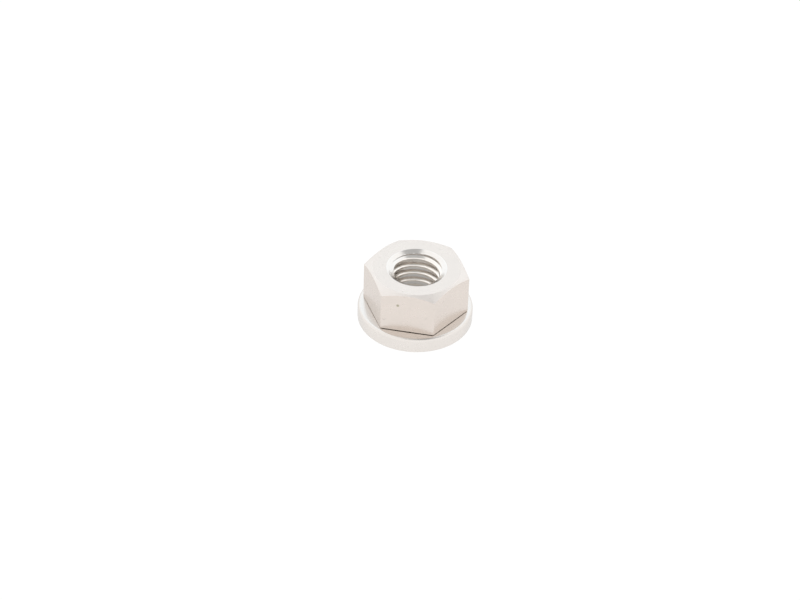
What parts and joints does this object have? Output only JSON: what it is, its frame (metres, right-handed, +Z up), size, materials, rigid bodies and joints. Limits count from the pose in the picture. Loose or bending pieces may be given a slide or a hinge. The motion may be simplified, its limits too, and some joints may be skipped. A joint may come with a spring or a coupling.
{
  "type": "hex nut with captive washer",
  "caption": "Steel hexagon nut with a coarse internal thread and a free-spinning flat washer held on its collar.",
  "frame": {"origin": "centre of the washer's bearing face, on the thread axis", "axes": "+Z up along the thread axis from the washer to the hexagon's top; +X through a hexagon corner, +Y through the middle of a flat"},
  "size_m": [0.0125, 0.0124, 0.0067],
  "materials": {
    "nut_steel": "satin, bright, with fine machining marks",
    "washer_steel": "satin, bright, tumbled edges"
  },
  "bodies": {
    "nut": {"nut_body": "nut_steel"},
    "washer": {"captive_washer": "washer_steel"}
  },
  "joints": [
    {"name": "washer_spin", "type": "hinge", "parent": "nut", "child": "washer", "pos_m": [0, 0, 0.0008], "axis": [0, 0, 1], "continuous": true}
  ]
}
